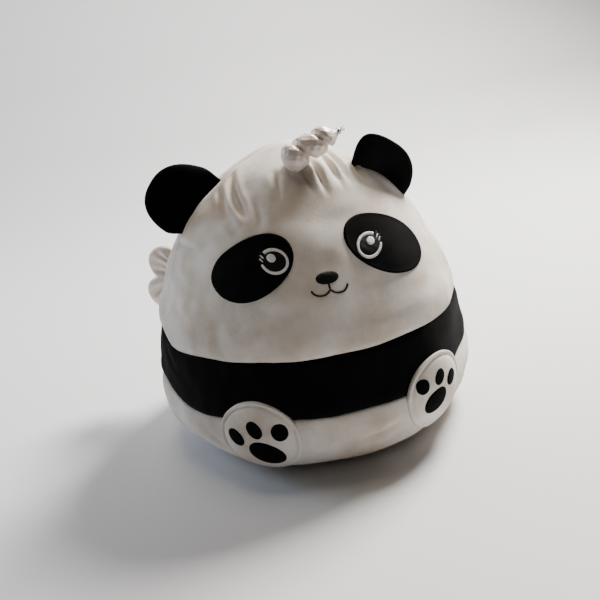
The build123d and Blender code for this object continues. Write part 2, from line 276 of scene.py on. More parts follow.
def relief(height, bearing, sewn=True):
    """How far the stuffed skin stands off the smooth form; sewn adds its seams and folds."""
    points = plain_skin(height, bearing, 0.0)
    if not sewn:
        slow_swells = swells[:swell_kinds[0][2]]
        return 1.2 + sum(size * np.sin(points @ wave + phase) for wave, phase, size in slow_swells)
    b = np.radians(bearing)
    above_top = height - band_top(bearing)
    below_band = band_bottom(bearing) - height
    top_seam = np.exp(-np.abs(above_top) / seam_width)
    low_seam = np.exp(-np.abs(below_band) / seam_width)
    pucker = np.sin(67 * b + 2.2 * np.sin(5 * b)) * np.sin(7 * b + 1.0)
    dip = band_seam_depth + 0.5 * pucker
    level = -dip * top_seam - dip * low_seam
    level = level + 2.4 * np.exp(-((above_top - 24) / 16) ** 2) + 1.8 * np.exp(-((below_band - 22) / 15) ** 2)
    level = level - 1.2 * np.exp(-((above_top + 32) / 22) ** 2)
    level = level + 0.35 * pucker * (np.exp(-(above_top / 13) ** 2) + np.exp(-(below_band / 13) ** 2))
    from_side_seam = np.abs(points[..., 1])
    side_seam = np.exp(-from_side_seam / seam_width)
    gather = np.sin(points[..., 2] / 2.3) * np.sin(points[..., 2] / 17.0)
    level = level - (side_seam_depth + 0.3 * gather) * side_seam + np.exp(-((from_side_seam - 14) / 8) ** 2)
    for path, width, depth in creases:
        level = level + crease_depth(points, path, width, depth)
    for wave, phase, size in swells:
        level = level + size * np.sin(points @ wave + phase)
    settled = np.clip(height / settled_height, 0, 1)
    return level * settled


def skin(height, bearing, proud=0.0, sewn=True):
    """Points on the stuffed skin, moved out along the smooth form's normal."""
    height, bearing, proud = np.broadcast_arrays(height, bearing, proud)
    points = plain_skin(height, bearing, relief(height, bearing, sewn) + proud)
    points[..., 2] = np.maximum(points[..., 2], 0.4)
    return points


def make_piece(name, points, faces, material, body, slot):
    """A mesh object from points in millimetres, welded, smooth, in its node's place on its body."""
    mesh = bpy.data.meshes.new(name)
    mesh.from_pydata((np.asarray(points) * mm).tolist(), [], faces)
    shape = bmesh.new()
    shape.from_mesh(mesh)
    bmesh.ops.remove_doubles(shape, verts=shape.verts, dist=1e-6)
    bmesh.ops.dissolve_degenerate(shape, edges=shape.edges, dist=1e-7)
    bmesh.ops.recalc_face_normals(shape, faces=shape.faces)
    for face in shape.faces:
        face.smooth = True
    shape.to_mesh(mesh)
    shape.free()
    piece = bpy.data.objects.new(name, mesh)
    bpy.context.scene.collection.objects.link(piece)
    mesh.materials.append(material)
    if body:
        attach(piece, body)
    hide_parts(name)
    return piece


def shell(front, back, joined=False):
    """Points and faces of a closed shell between two grids; joined closes the columns' ring."""
    rows, columns = front.shape[:2]
    points = np.concatenate([front.reshape(-1, 3), back.reshape(-1, 3)])
    start = rows * columns
    spans = columns if joined else columns - 1
    faces = []
    for i in range(rows - 1):
        for j in range(spans):
            k = (j + 1) % columns
            quad = (i * columns + j, i * columns + k, (i + 1) * columns + k, (i + 1) * columns + j)
            faces.append(quad)
            faces.append(tuple(start + q for q in reversed(quad)))
    for i in (0, rows - 1):
        for j in range(spans):
            k = (j + 1) % columns
            faces.append((i * columns + j, i * columns + k, start + i * columns + k, start + i * columns + j))
    if not joined:
        for j in (0, columns - 1):
            for i in range(rows - 1):
                a, b = i * columns + j, (i + 1) * columns + j
                faces.append((a, b, start + b, start + a))
    return points, faces


# ---------------------------------------------------------------- The seven panels
# Knitted polyester plush with a dense 2 mm cut pile, white and black. Each level of the
# body is two pieces, front and back, sewn down the sides and over the crown; a flat disc
# closes the base. The seams are turned inside, so only a pulled-in line shows.
pile_mm = 1.2       # clumps of pile; a single hair is too fine to show, so it is drawn as tufts
swept_mm = 9.0      # patches of pile that lie one way
mottle_mm = 55.0    # slow, random change between the pile's two tones, the second darker and warmer
fabric = 1.8


def pile_plush(name, light, shade, sheen, tuft_strength, stain):
    """Cut-pile plush: matt, a soft halo at grazing angles, pile lying in patches."""
    material, tree = new_material(name)
    place = add(tree, "ShaderNodeTexCoord").outputs["Object"]
    mottle = add(tree, "ShaderNodeTexNoise", {"Scale": 1000 / mottle_mm, "Detail": 4.0, "Roughness": 0.6},
                 links={"Vector": place})
    tufts = add(tree, "ShaderNodeTexNoise", {"Scale": 1000 / pile_mm, "Detail": 3.0, "Roughness": 0.65},
                links={"Vector": place})
    swept = add(tree, "ShaderNodeTexNoise", {"Scale": 1000 / swept_mm, "Detail": 2.0, "Distortion": 1.2},
                links={"Vector": place})
    spread = add(tree, "ShaderNodeMapRange", {"From Min": 0.34, "From Max": 0.72},
                 links={"Value": mottle.outputs["Fac"]})
    tone = add(tree, "ShaderNodeMix", settings={"data_type": "RGBA"}, links={"Factor": spread.outputs[0]})
    for socket in tone.inputs:
        if socket.type == "RGBA":
            socket.default_value = linear(light) if socket.name == "A" else linear(shade)
    tuft_tone = add(tree, "ShaderNodeMapRange",
                    {"From Min": 0.3, "From Max": 0.7, "To Min": 1 - stain, "To Max": 1.0},
                    links={"Value": tufts.outputs["Fac"]})
    colour = add(tree, "ShaderNodeVectorMath", settings={"operation": "SCALE"},
                 links={"Vector": tone.outputs["Result"], "Scale": tuft_tone.outputs[0]})
    lift = add(tree, "ShaderNodeMath", {1: 0.35}, {"operation": "MULTIPLY_ADD"},
               {0: swept.outputs["Fac"], 2: tufts.outputs["Fac"]})
    bump = add(tree, "ShaderNodeBump", {"Strength": tuft_strength, "Distance": 0.0016},
               links={"Height": lift.outputs[0]})
    cloth = add(tree, "ShaderNodeBsdfPrincipled",
                {"Roughness": 0.95, "Specular IOR Level": 0.08, "Sheen Weight": sheen,
                 "Sheen Roughness": 0.45},
                links={"Base Color": colour.outputs[0], "Normal": bump.outputs[0]})
    add(tree, "ShaderNodeOutputMaterial", links={"Surface": cloth.outputs[0]})
    return material


white_pile = pile_plush("white_polyester_cut_pile", "#EFEAE3", "#CDBFAE", 0.18, 0.3, 0.06)
black_pile = pile_plush("black_polyester_cut_pile", "#060607", "#040405", 0.015, 0.35, 0.3)

panel_step = 3.1


def panel(name, first_bearing, low, high, material, slot):
    """Half of one level of the body, from one side seam to the other."""
    columns = int(pi * half_width / panel_step) | 1
    bearing = np.linspace(first_bearing, first_bearing + 180, columns)
    low_length = np.interp(low(bearing), line_z, line_length)
    high_length = np.interp(high(bearing), line_z, line_length)
    rows = int((high_length - low_length).max() / panel_step) + 2
    share = np.linspace(0, 1, rows)[:, None]
    height = np.interp(low_length + share * (high_length - low_length), line_length, line_z)
    bearing = np.broadcast_to(bearing, height.shape)
    points, faces = shell(skin(height, bearing), skin(height, bearing, -fabric))
    return make_piece(name, points, faces, material, "body", slot)


def floor_line(bearing):
    return np.zeros_like(bearing)


def crown_line(bearing):
    return np.full_like(bearing, body_height)


for side, first_bearing in (("front", -90.0), ("back", 90.0)):
    for name, low, high, material, slot in (
        ("lower", floor_line, band_bottom, white_pile, "white_plush"),
        ("band", band_bottom, band_top, black_pile, "black_plush"),
        ("head", band_top, crown_line, white_pile, "white_plush"),
    ):
        cover = panel(f"{name}_{side}_panel", first_bearing, low, high, material, slot)

base_rings = 26
base_turn = np.linspace(0, 2 * pi, 160, endpoint=False)
base_share = np.linspace(0, 1, base_rings)[:, None]
base_radius = base_share * (half_base - 1.0)
base_dent = 0.5 + 2.2 * (1 - base_share ** 4) * (0.7 + 0.3 * np.sin(3 * base_turn + 4 * base_share))
base_low = np.stack([base_radius * np.cos(base_turn), base_radius * np.sin(base_turn), base_dent], -1)
base_high = base_low + np.array([0, 0, fabric])
points, faces = shell(base_low, base_high, joined=True)
base_cover = make_piece("base_panel", points, faces, white_pile, "body", "white_plush")

# ---------------------------------------------------------------- The filling
# Loose polyester fibre blown into the body through the opening at the back; a crimped,
# off-white mass that fills the cover to its seams.
clump_mm = 14.0


def fibre(name):
    """Crimped polyester staple: dull white, cloudy, with clumps."""
    material, tree = new_material(name)
    place = add(tree, "ShaderNodeTexCoord").outputs["Object"]
    clumps = add(tree, "ShaderNodeTexNoise", {"Scale": 1000 / clump_mm, "Detail": 8.0, "Distortion": 1.5},
                 links={"Vector": place})
    ramp = add(tree, "ShaderNodeValToRGB", links={"Fac": clumps.outputs["Fac"]})
    ramp.color_ramp.elements[0].color = linear("#CFCFCB")
    ramp.color_ramp.elements[1].color = linear("#F6F6F3")
    bump = add(tree, "ShaderNodeBump", {"Strength": 0.8, "Distance": 0.003},
               links={"Height": clumps.outputs["Fac"]})
    shader = add(tree, "ShaderNodeBsdfPrincipled", {"Roughness": 0.9, "Sheen Weight": 0.3},
                 links={"Base Color": ramp.outputs["Color"], "Normal": bump.outputs[0]})
    add(tree, "ShaderNodeOutputMaterial", links={"Surface": shader.outputs[0]})
    return material


def wall(rows, columns):
    """The faces of a tube, from rings of points."""
    faces = []
    for i in range(rows - 1):
        for j in range(columns):
            k = (j + 1) % columns
            faces.append((i * columns + j, i * columns + k, (i + 1) * columns + k, (i + 1) * columns + j))
    return faces


polyester_fibre = fibre("crimped_polyester_fibre")
stuffing_gap = 3.2
stuffing_floor = 5.0
stuffing_bearing = np.linspace(-180, 180, 120, endpoint=False)
stuffing_length = np.linspace(0, line_length[-1], 70)[:, None]
stuffing_height = np.interp(stuffing_length, line_length, line_z) + 0 * stuffing_bearing
stuffing_turn = np.broadcast_to(stuffing_bearing, stuffing_height.shape)
stuffing_points = skin(stuffing_height, stuffing_turn, -stuffing_gap)
stuffing_points[..., 2] = np.clip(stuffing_points[..., 2], stuffing_floor, None)
rows, columns = stuffing_points.shape[:2]
faces = [tuple(range(columns)), *wall(rows, columns)]
stuffing = make_piece("body_stuffing", stuffing_points.reshape(-1, 3), faces, polyester_fibre, "body",
                      "polyester_filling")

# ---------------------------------------------------------------- Eye patches
# Ovals of black plush laid on the face and run round with black satin stitch, which
# leaves a narrow raised border. They slant down and outwards.
patch_length = {"right": 100.0, "left": 105.0}
patch_width = 55.0
patch_centre = {"right": (-77.4, 252.8), "left": (76.5, 250.9)}
patch_slant = {"right": radians(180 + 26.7), "left": radians(-30.9)}
patch_border = 3.0


def on_face(across, up, bearing=0.0):
    """Height and bearing of a point seen from straight in front of a bearing."""
    r = np.interp(up, line_z, line_r)
    return up, bearing + np.degrees(np.arcsin(np.clip(across / r, -1, 1)))


def oval_ring(centre, length, width, slant, share, turns, squareness=2.0):
    """Points of an oval of the given share of its size; a squareness over 2 fills its corners."""
    c, s = np.cos(turns), np.sin(turns)
    along = np.sign(c) * np.abs(c) ** (2 / squareness) * length / 2 * share
    side = np.sign(s) * np.abs(s) ** (2 / squareness) * width / 2 * share
    x = centre[0] + along * cos(slant) - side * sin(slant)
    z = centre[1] + along * sin(slant) + side * cos(slant)
    return x, z


def applique(name, centre, length, width, slant, rise, material, slot, bearing=0.0, rings=14, turns=96,
             squareness=2.0, under=0.0, sewn=True):
    """A flat oval sewn on the skin; rise gives its height for each share of the way out."""
    share = np.linspace(0, 1, rings)[:, None]
    angle = np.linspace(0, 2 * pi, turns, endpoint=False)[None, :]
    x, z = oval_ring(centre, length, width, slant, share, angle, squareness)
    height, turn = on_face(x, z, bearing)
    lift = rise(share, angle)
    top = skin(height, turn, under + lift, sewn)
    bottom = skin(height, turn, under - (0.3 if sewn else 3.0) + 0 * lift, sewn)
    points, faces = shell(top, bottom, joined=True)
    return make_piece(name, points, faces, material, "body", slot)


def patch_rise(share, angle):
    edge = np.exp(-((1 - share) / (1.6 * patch_border / patch_width)) ** 2)
    fall = np.clip((1 - share) / 0.02, 0, 1) ** 0.5
    return (1.2 + 0.7 * edge) * fall + 0.1


for side in ("right", "left"):
    applique(f"eye_patch_{side}", patch_centre[side], patch_length[side], patch_width, patch_slant[side],
             patch_rise, black_pile, "black_plush", rings=30, turns=180, squareness=2.08)

# ---------------------------------------------------------------- Eyes
# Machine embroidery in rayon thread over the patches: a white satin ring with a gap where
# three dark lashes cross it, a charcoal disc inside it, and a padded white highlight.
eye_centre = {"right": (-52.8, 258.9), "left": (55.6, 255.2)}
ring_width = 30.4
ring_height = 26.4
ring_line = 3.1
highlight_offset = (2.5, 3.5)
highlight_size = (9.4, 8.4)
lash_angles = (2.0, 20.0, 38.0)
lash_slant = radians(50)
lash_length = 8.5
lash_width = 1.7
ring_gap = 11.0             # degrees left free before the first lash and after the last
bridge_length = 4.8         # the white strokes that carry the ring on between the lashes
bridge_width = 1.5
over_patch = 1.25
stitch_mm = 1.1     # one rib of satin stitch; the real thread is 0.4 mm, too fine to show
fibre_mm = 0.9      # grain of the thread, drawn as coarse as it needs to show
lay_mm = 22.0       # over which the stitches' lie changes


def rayon(name, colour, dark, roughness):
    """Satin stitch in rayon: fine thread laid side by side, catching the light in slow waves."""
    material, tree = new_material(name)
    place = add(tree, "ShaderNodeTexCoord").outputs["Object"]
    lay = add(tree, "ShaderNodeTexWave", {"Scale": 1000 / lay_mm, "Distortion": 1.5, "Detail": 2.0},
              {"bands_direction": "DIAGONAL"}, {"Vector": place})
    grain = add(tree, "ShaderNodeTexNoise", {"Scale": 1000 / fibre_mm, "Detail": 2.0},
                links={"Vector": place})
    ramp = add(tree, "ShaderNodeValToRGB", links={"Fac": grain.outputs["Fac"]})
    ramp.color_ramp.elements[0].position = 0.3
    ramp.color_ramp.elements[0].color = linear(dark)
    ramp.color_ramp.elements[1].position = 0.62
    ramp.color_ramp.elements[1].color = linear(colour)
    bump = add(tree, "ShaderNodeBump", {"Strength": 0.35, "Distance": 0.0005},
               links={"Height": lay.outputs["Fac"]})
    shader = add(tree, "ShaderNodeBsdfPrincipled", {"Roughness": roughness, "Specular IOR Level": 0.2},
                 links={"Base Color": ramp.outputs["Color"], "Normal": bump.outputs[0]})
    add(tree, "ShaderNodeOutputMaterial", links={"Surface": shader.outputs[0]})
    return material


white_rayon = rayon("white_rayon_satin_stitch", "#F2F1EE", "#C9C8C5", 0.5)
black_rayon = rayon("black_rayon_satin_stitch", "#0D0E10", "#060708", 0.6)
charcoal_rayon = rayon("charcoal_rayon_fill_stitch", "#121315", "#090A0B", 0.8)


def stitched_arc(centre, first, last, lift_low):
    """A satin-stitched stretch of the eye's ring between two angles, in degrees."""
    count = max(int(abs(last - first) / 2.4), 6)
    angle = np.radians(np.linspace(first, last, count))[None, :]
    across = np.linspace(-1, 1, 9)[:, None]
    ends = np.minimum(np.arange(count), np.arange(count)[::-1])[None, :]
    ribs = 0.10 * (np.arange(count) % 2)[None, :]
    lift = lift_low + (0.75 + ribs) * np.sqrt(1 - across ** 2) * np.clip(0.4 + ends / 2, 0, 1)
    width = (ring_width - ring_line) / 2 + across * ring_line / 2
    tall = (ring_height - ring_line) / 2 + across * ring_line / 2
    x = centre[0] + width * np.cos(angle)
    z = centre[1] + tall * np.sin(angle)
    height, turn = on_face(x, z)
    return shell(skin(height, turn, lift), skin(height, turn, lift_low - 0.3 + 0 * lift))


def merge(parts):
    """Several shells as one list of points and faces."""
    points, faces = [], []
    count = 0
    for part_points, part_faces in parts:
        points.append(part_points)
        faces.extend(tuple(q + count for q in face) for face in part_faces)
        count += len(part_points)
    return np.concatenate(points), faces


def tube(path, radius, flat=1.0, sides=8, up=None):
    """A round or flattened thread along points, tapered to its ends by the radius given."""
    path = np.asarray(path, float)
    radius = np.broadcast_to(radius, (len(path),))
    ahead = np.gradient(path, axis=0)
    ahead /= np.linalg.norm(ahead, axis=1)[:, None]
    up = np.broadcast_to(np.array([0.0, 0.0, 1.0]) if up is None else up, path.shape)
    side = np.cross(ahead, up)
    side /= np.linalg.norm(side, axis=1)[:, None]
    lift = np.cross(side, ahead)
    turn = np.linspace(0, 2 * pi, sides, endpoint=False)
    rings = path[:, None] + radius[:, None, None] * (
        np.cos(turn)[None, :, None] * side[:, None] + flat * np.sin(turn)[None, :, None] * lift[:, None])
    points = np.concatenate([rings.reshape(-1, 3), path[:1], path[-1:]])
    faces = wall(len(path), sides)
    first, last = len(points) - 2, len(points) - 1
    for j in range(sides):
        k = (j + 1) % sides
        faces.append((first, k, j))
        faces.append((last, (len(path) - 1) * sides + j, (len(path) - 1) * sides + k))
    return points, faces


def sewn_line(path, width, lift_low, thickness=0.8, steps=40, bearing=0.0):
    """A stitched line on the skin through (across, height) points, as a flattened thread."""
    path = np.asarray(path, float)
    stops = np.linspace(0, 1, len(path))
    fine = np.linspace(0, 1, steps)
    if len(path) > 2:
        coefficients = [np.polyfit(stops, path[:, k], len(path) - 1) for k in (0, 1)]
        line = np.stack([np.polyval(c, fine) for c in coefficients], -1)
    else:
        line = path[0] + fine[:, None] * (path[1] - path[0])
    height, turn = on_face(line[:, 0], line[:, 1], bearing)
    low = skin(height, turn, lift_low)
    high = skin(height, turn, lift_low + 1.0)
    taper = np.sqrt(np.clip(1 - (2 * fine - 1) ** 12, 0.05, 1))
    return tube(low, width / 2 * taper, flat=2 * thickness / width, up=high - low)


def across_ring(centre, s, degrees_up, length):
    """Ends of a slanted stroke across the eye's ring, at an angle up from its outer side."""
    angle = radians(degrees_up)
    x = centre[0] + s * (ring_width - ring_line) / 2 * cos(angle)
    z = centre[1] + (ring_height - ring_line) / 2 * sin(angle)
    step_x = s * length / 2 * cos(lash_slant)
    step_z = length / 2 * sin(lash_slant)
    return [(x - step_x, z - step_z), (x + step_x, z + step_z)]


def pupil_rise(share, angle):
    return 0.5 * np.clip((1 - share) / 0.12, 0, 1) ** 0.5 + 0.12 * np.cos(share * 26) * (1 - share)


def highlight_rise(share, angle):
    return 1.1 * np.sqrt(np.clip(1 - share ** 2, 0, 1)) + 0.06 * np.cos(24 * share * np.sin(angle))


for side, s in (("right", -1), ("left", 1)):
    centre = eye_centre[side]
    first, last = lash_angles[-1] + ring_gap, 360 + lash_angles[0] - ring_gap
    if s < 0:
        first, last = 180 - last, 180 - first
    parts = [stitched_arc(centre, first, last, over_patch)]
    for low, high in zip(lash_angles, lash_angles[1:]):
        bridge = across_ring(centre, s, (low + high) / 2, bridge_length)
        parts.append(sewn_line(bridge, bridge_width, over_patch, steps=8))
    make_piece(f"eye_ring_{side}", *merge(parts), white_rayon, "body", "white_embroidery")
    lashes = []
    for angle in lash_angles:
        lash = across_ring(centre, s, angle, lash_length)
        lashes.append(sewn_line(lash, lash_width, over_patch, steps=12))
    make_piece(f"eyelashes_{side}", *merge(lashes), black_rayon, "body", "dark_embroidery")
    applique(f"pupil_{side}", centre, ring_width - 2 * ring_line, ring_height - 2 * ring_line, 0.0,
             pupil_rise, charcoal_rayon, "dark_embroidery", rings=12, turns=60, under=over_patch)
    spark = (centre[0] + s * highlight_offset[0], centre[1] + highlight_offset[1])
    applique(f"eye_highlight_{side}", spark, *highlight_size, 0.0, highlight_rise, white_rayon,
             "white_embroidery", rings=9, turns=40, under=over_patch + 0.5)

# ---------------------------------------------------------------- Nose and mouth
# The nose is a padded oval of dark satin stitch; the mouth is one line of the same thread,
# a short stem that parts into two curls.
nose_size = (26.0, 12.4)
nose_centre = (-1.4, 235.4)
mouth_line = 2.3
junction = (-1.2, 223.8)
left_curl = [(0.0, 0.0), (-6.0, -4.6), (-13.6, -5.0), (-19.0, -1.8), (-20.8, 1.6)]


def nose_rise(share, angle):
    ribs = 0.10 * np.cos(pi * share * np.cos(angle) * nose_size[0] / stitch_mm)
    return (1.5 + ribs) * np.sqrt(np.clip(1 - share ** 3, 0, 1))


applique("nose", nose_centre, *nose_size, 0.0, nose_rise, black_rayon, "dark_embroidery", rings=14, turns=90,
         squareness=2.2)
under_nose = (nose_centre[0], nose_centre[1] - nose_size[1] / 2 + 0.8)
stem = sewn_line([under_nose, junction], mouth_line, 0.2, steps=10)
curl = sewn_line([(junction[0] + x, junction[1] + z) for x, z in left_curl], mouth_line, 0.2)
other_curl = sewn_line([(junction[0] - x, junction[1] + z) for x, z in left_curl], mouth_line, 0.2)
make_piece("mouth", *merge([stem, curl, other_curl]), black_rayon, "body", "dark_embroidery")

# ---------------------------------------------------------------- Feet
# Each foot is a flat padded oval of white plush, edge-stitched to the body half over the
# band: a narrow flange outside a sewn channel, a low dome of filling inside it, and four
# black plush pads bonded to its face.
foot_bearing = 33.0
foot_height = {"right": 64.0, "left": 72.0}
foot_width = 100.0
foot_tall = 92.0
foot_thickness = 6.2
channel_share = 0.90
channel_width = 0.035
# Each pad: out from the foot's middle, up, length, width, and lean in degrees.
toe_pads = [(28.0, 1.5, 23.0, 16.0, 48.0), (3.0, 12.8, 22.0, 16.5, 36.0), (-26.0, 10.0, 20.0, 18.5, 20.0)]
main_pad = (-7.0, -16.0, 42.0, 27.0, 70.0)
pad_shift = {"right": (-3.0, 2.5), "left": (-7.0, 9.0)}
pad_scale = {"right": 1.0, "left": 0.88}
topstitch_count = 62
topstitch_radius = 0.45
padding_share = 0.84


def foot_dome(share):
    """Height of the foot's face above the body at a share of the way out to its rim."""
    dome = foot_thickness * np.clip(1 - (share / channel_share) ** 2.6, 0, 1) ** 0.62
    flange = 2.3 * np.clip((1 - share) / 0.02, 0, 1) ** 0.5
    channel = 1.2 * np.exp(-((share - channel_share) / channel_width) ** 2)
    outer = np.clip((share - channel_share + 0.06) / 0.06, 0, 1)
    return np.maximum(dome + 1.3, flange * outer + 1.3 * (1 - outer)) - channel


def foot_face_lift(x, z):
    return foot_dome(np.hypot(x / (foot_width / 2), z / (foot_tall / 2)))


def foot_rise(share, angle):
    lumps = 0.35 * np.sin(3 * angle + 5 * share) * share * (1 - share) * 4
    return foot_dome(share) + lumps


def padding_rise(share, angle):
    return np.clip(foot_dome(share * 0.9) - 2.0, 0.1, None) * np.clip((1 - share) / 0.04, 0, 1) ** 0.5


for side, s in (("right", -1), ("left", 1)):
    bearing = s * foot_bearing
    centre = (0.0, foot_height[side])
    cover = applique(f"foot_cover_{side}", centre, foot_width, foot_tall, 0.0, foot_rise, white_pile,
                     "white_plush", bearing=bearing, rings=44, turns=160, sewn=False)
    pad = applique(f"foot_padding_{side}", centre, foot_width * padding_share, foot_tall * padding_share, 0.0,
                   padding_rise, polyester_fibre, "polyester_filling", bearing=bearing, rings=18, turns=60,
                   sewn=False)
    stitches = []
    for i in range(topstitch_count):
        turns = 2 * pi * (i + np.array([0.12, 0.37, 0.63, 0.88])) / topstitch_count
        x = channel_share * foot_width / 2 * np.cos(turns)
        z = channel_share * foot_tall / 2 * np.sin(turns)
        height, turn = on_face(x, centre[1] + z, bearing)
        lift = foot_dome(np.full(4, channel_share)) + np.array([-0.5, 0.35, 0.35, -0.5])
        stitches.append(tube(skin(height, turn, lift, False), topstitch_radius, sides=6))
    make_piece(f"foot_topstitch_{side}", *merge(stitches), white_rayon, "body", "white_embroidery")
    shapes = []
    for out, up, length, width, lean in [*toe_pads, main_pad]:
        share = np.linspace(0, 1, 12)[:, None]
        angle = np.linspace(0, 2 * pi, 56, endpoint=False)[None, :]
        scale = pad_scale[side]
        place = (s * (out * scale + pad_shift[side][0]), up * scale + pad_shift[side][1])
        x, z = oval_ring(place, length * scale, width * scale, pi / 2 + s * -radians(lean), share, angle, 2.1)
        base = foot_face_lift(x, z)
        height, turn = on_face(x, centre[1] + z, bearing)
        rise = 0.4 + 0.9 * np.clip((1 - share) / 0.10, 0, 1) ** 0.5 + 0.25 * (1 - share ** 2) + 0 * angle
        top = skin(height, turn, base + rise, False)
        shapes.append(shell(top, skin(height, turn, base - 0.6, False), joined=True))
    make_piece(f"toe_pads_{side}", *merge(shapes[:-1]), black_pile, "body", "black_plush")
    make_piece(f"main_pad_{side}", *shapes[-1], black_pile, "body", "black_plush")

# ---------------------------------------------------------------- Ears
# Two half rounds of black plush sewn together, turned, lightly filled and caught into the
# side seam along their straight edge. The toy's right ear stands and leans back; its left
# one is bent forward and cupped, with its inner corner curling over.
# Where each ear is sewn on.
ear_height_on_head = 298.0
ear_plane = {"right": -0.4, "left": -21.0}                # behind the side seam; minus is in front
ear_turn = {"right": radians(12.2), "left": radians(5.4)}       # the edge's lower end turned forward
ear_slide = {"right": -8.0, "left": -8.2}                 # down along the edge
ear_sink = {"right": 5.5, "left": 7.3}                    # tucked into the seam
# How it is cut.
ear_half_base = {"right": 47.0, "left": 46.5}
ear_tall = {"right": 69.5, "left": 60.0}
ear_roundness = {"right": 2.45, "left": 2.78}             # 2 is an ellipse
ear_neck = {"right": (0.13, 0.24), "left": (0.06, 0.08)}  # drawn in at the edge's inner and lower ends
ear_lean = {"right": 0.07, "left": -0.384}                # slides along the edge as it rises
ear_half_thickness = 7.5
# How it stands.
ear_fold = {"right": radians(-10.6), "left": radians(19.8)}     # forward at the edge
ear_bend = {"right": radians(4.5), "left": radians(24.4)}       # further forward up to the tip
ear_cup = {"right": -1.5, "left": 5.5}                    # both ends of the rim brought forward
ear_flop = {"right": (7.0, 1.2), "left": (34.3, 5.0)}     # inner end of the edge, forward and down
# How it is built and blends into the head.
ear_grid = (26, 70)
ear_hollow = 0.78
ear_padding_grid = (16, 44)
ear_padding_inset = 6.0
padding_fullness = 0.7


def smoothstep(x):
    x = np.clip(x, 0, 1)
    return x * x * (3 - 2 * x)


def normalised(vector):
    return vector / np.linalg.norm(vector)


def ear_axes(side, s):
    """Seat on the skin, then along the sewn edge, out of the head, and forwards."""
    r = np.interp(ear_height_on_head, line_z, line_r)
    bearing = s * (90 + degrees(np.arcsin(ear_plane[side] / r)))
    seat = plain_skin(ear_height_on_head, bearing, 0.0)
    outward = normalised(plain_skin(ear_height_on_head, bearing, 1.0) - seat)
    down = normalised(np.cross(outward, np.array([0.0, -s, 0.0])))
    edge = down * cos(ear_turn[side]) + np.array([0.0, -1.0, 0.0]) * sin(ear_turn[side])
    return seat + ear_slide[side] * edge, edge, outward, np.cross(edge, outward) * s


def ear_points(side, s, rings, turns, shrink, sheet):
    """One face of an ear as rings from the middle of its sewn edge out to its rim."""
    seat, edge, outward, forward = ear_axes(side, s)
    share = np.linspace(0, 1, rings)[:, None]
    angle = np.linspace(-0.05 * pi, 1.05 * pi, turns)[None, :]
    c, si = np.cos(angle), np.sin(angle)
    roundness = ear_roundness[side]
    size = (np.abs(c) ** roundness + np.abs(si) ** roundness) ** (-1 / roundness)
    along = (ear_half_base[side] - shrink) * c * size * share
    rise = (ear_tall[side] - shrink) * si * size * share
    drawn_in = np.where(along < 0, *ear_neck[side]) * (1 - smoothstep((rise + 4) / 30))
    along = along * (1 - drawn_in)
    along = along + ear_lean[side] * np.clip(rise, 0, None)
    thick = np.sqrt(np.clip(1 - share ** 3.2, 0, 1)) * (0.35 + 0.65 * smoothstep(rise / 26))
    thick = (ear_half_thickness - 0.8 * shrink) * thick + 0.25
    thick = thick * (1 + 0.10 * np.sin(5 * angle + 1.3) * share)
    seam = 0.9 * np.exp(-((1 - share) / 0.045) ** 2)
    thick = thick + seam * (shrink == 0)
    height = rise - ear_sink[side]
    bend = ear_fold[side] + ear_bend[side] * smoothstep((height + 4) / ear_tall[side])
    cup = ear_cup[side] * (along / ear_half_base[side]) ** 2 * smoothstep(height / 30)
    across = sheet * thick + cup
    steps = np.clip(height, 0, None)
    out = np.where(height > 0, steps * np.cos(bend * 0.8), height) - across * np.sin(bend)
    ahead = np.where(height > 0, steps * np.sin(bend * 0.8), 0.0) + across * np.cos(bend)
    flop = smoothstep((8 - along) / 56) * (1 - 0.75 * smoothstep(height / 46))
    ahead = ahead + ear_flop[side][0] * flop
    out = out - ear_flop[side][1] * flop
    return seat + along[..., None] * edge + out[..., None] * outward + ahead[..., None] * forward


def hollowed(outer, middle, share):
    """The inner face of one half of a sewn-together piece, which meets the other half at the rim."""
    rings = np.linspace(0, 1, len(outer))[:, None, None]
    return middle + (outer - middle) * share * (1 - smoothstep((rings - 0.9) / 0.07))


for side, s in (("right", -1), ("left", 1)):
    seat, _, outward, _ = ear_axes(side, s)
    middle = ear_points(side, s, *ear_grid, 0.0, 0.0)
    for name, direction in (("front", 1.0), ("back", -1.0)):
        outer = ear_points(side, s, *ear_grid, 0.0, direction)
        points, faces = shell(outer, hollowed(outer, middle, ear_hollow))
        piece = make_piece(f"ear_{name}_{side}", points, faces, black_pile, None, "black_plush")
        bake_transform(piece)
    points, faces = shell(ear_points(side, s, *ear_padding_grid, ear_padding_inset, padding_fullness),
                          ear_points(side, s, *ear_padding_grid, ear_padding_inset, -padding_fullness))
    padding = make_piece(f"ear_padding_{side}", points, faces, polyester_fibre, None, "polyester_filling")
    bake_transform(padding)

# ---------------------------------------------------------------- Horn
# A cone of pearly foil-backed satin, filled, then wound round with silver thread that bites
# in and makes it twist; the thread's ends are knotted off in a short tuft at the tip. It
# is too soft to stand, and lies over to one side.
horn_seam = next(joint for joint in frame["joints"] if joint["name"] == "horn_tilt")
horn_base = np.array(horn_seam["pos_m"]) / mm
horn_turn = radians(6)
horn_rise = radians(17.8)
horn_length = 62.0
horn_radii = (16.5, 14.0)
horn_pitch = 25.5
horn_start_turn = -0.1
horn_tip_radius = 3.0
tint_mm = 16.0      # over which the foil slips from one tint to the next
crinkle_mm = 5.0    # creases in the satin
yarn_mm = 0.8       # twist of the silver yarn
horn_axis = np.array([cos(horn_turn) * cos(horn_rise), sin(horn_turn) * cos(horn_rise), sin(horn_rise)])
horn_side = np.array([-sin(horn_turn), cos(horn_turn), 0.0])
horn_up = np.cross(horn_axis, horn_side)


